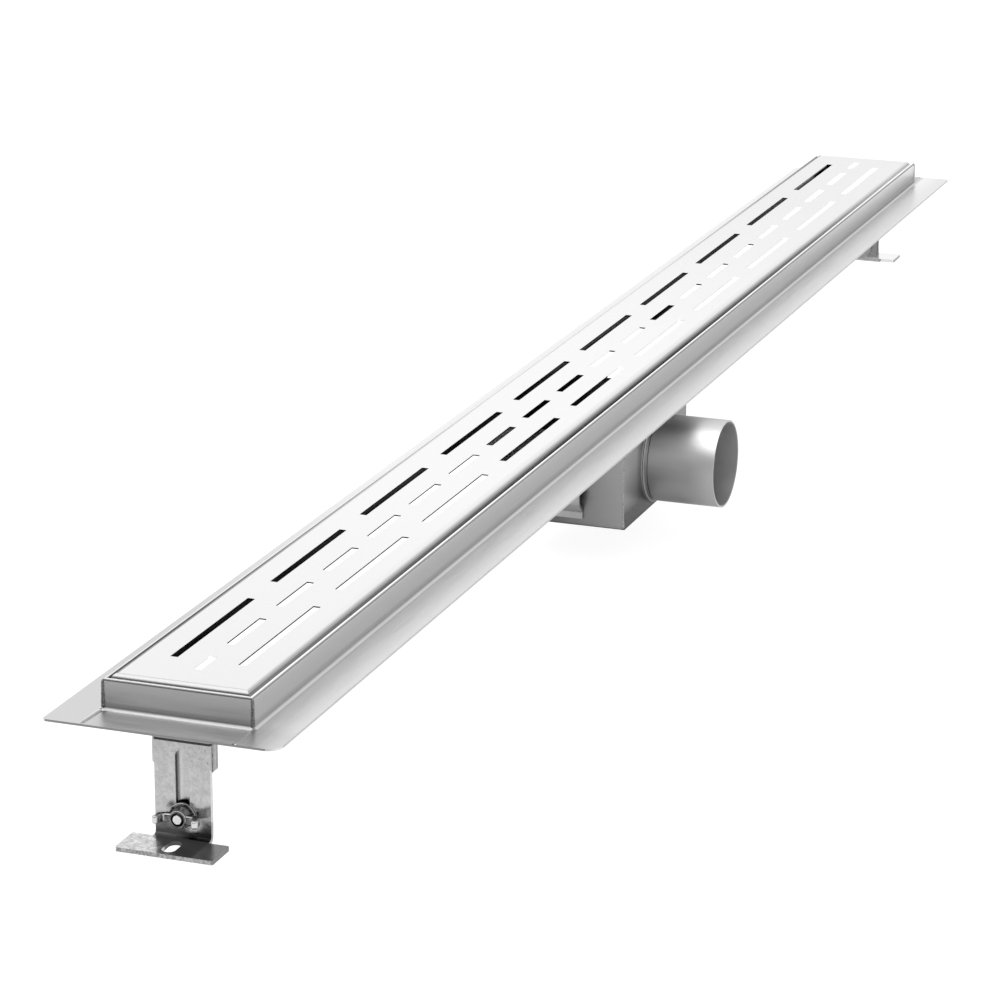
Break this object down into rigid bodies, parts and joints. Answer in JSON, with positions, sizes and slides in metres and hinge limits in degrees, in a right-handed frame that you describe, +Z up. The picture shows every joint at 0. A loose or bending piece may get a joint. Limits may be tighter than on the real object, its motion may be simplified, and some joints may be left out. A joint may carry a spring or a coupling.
{
  "type": "linear shower drain",
  "caption": "Long stainless shower channel with a screed flange, lift-out slotted grate, trap box with side outlet, and height-adjustable feet.",
  "frame": {"origin": "middle of the trap box's underside, on the floor that the drain rests on, halfway along and across the channel", "axes": "+X along the channel, away from the bonding lug, the outlet points to -Y, +Z up"},
  "size_m": [1.2, 0.1306, 0.0825],
  "materials": {
    "channel_steel": "satin stainless sheet",
    "cap_steel": "satin stainless sheet, grain across",
    "grate_steel": "satin stainless sheet",
    "trap_steel": "pickled stainless sheet",
    "pipe_steel": "satin stainless tube",
    "lug_steel": "pickled stainless sheet",
    "trap_plastic": "moulded, matt",
    "gasket_rubber": "matt",
    "bracket_zinc": "galvanised",
    "foot_zinc": "galvanised, mottled",
    "fastener_zinc": "bright zinc plate"
  },
  "bodies": {
    "drain": {"channel": "channel_steel", "near_end_cap": "cap_steel", "far_end_cap": "cap_steel", "grate": "grate_steel", "trap_shell": "trap_steel", "trap_outlet_side": "trap_steel", "trap_plain_side": "trap_steel", "outlet_pipe": "pipe_steel", "bonding_lug": "lug_steel", "trap_insert": "trap_plastic", "trap_cup": "trap_plastic", "trap_gasket": "gasket_rubber", "near_foot_bracket": "bracket_zinc", "near_foot_bolt": "fastener_zinc", "near_rear_washer": "fastener_zinc", "near_front_washer": "fastener_zinc", "far_foot_bracket": "bracket_zinc", "far_foot_bolt": "fastener_zinc", "far_rear_washer": "fastener_zinc", "far_front_washer": "fastener_zinc"},
    "near_foot": {"near_foot": "foot_zinc"},
    "near_wing_nut": {"near_wing_nut": "fastener_zinc"},
    "far_foot": {"far_foot": "foot_zinc"},
    "far_wing_nut": {"far_wing_nut": "fastener_zinc"}
  },
  "joints": [
    {"name": "near_foot_height", "type": "slide", "parent": "drain", "child": "near_foot", "axis": [0, 0, -1], "range_m": [0, 0.0275]},
    {"name": "near_wing_nut_turn", "type": "hinge", "parent": "drain", "child": "near_wing_nut", "pos_m": [-0.58, 0, 0.0203], "axis": [-1, 0, 0], "range_deg": [-50, 50]},
    {"name": "far_foot_height", "type": "slide", "parent": "drain", "child": "far_foot", "axis": [0, 0, -1], "range_m": [0, 0.0275]},
    {"name": "far_wing_nut_turn", "type": "hinge", "parent": "drain", "child": "far_wing_nut", "pos_m": [0.58, 0, 0.0203], "axis": [1, 0, 0], "range_deg": [-50, 50]}
  ]
}
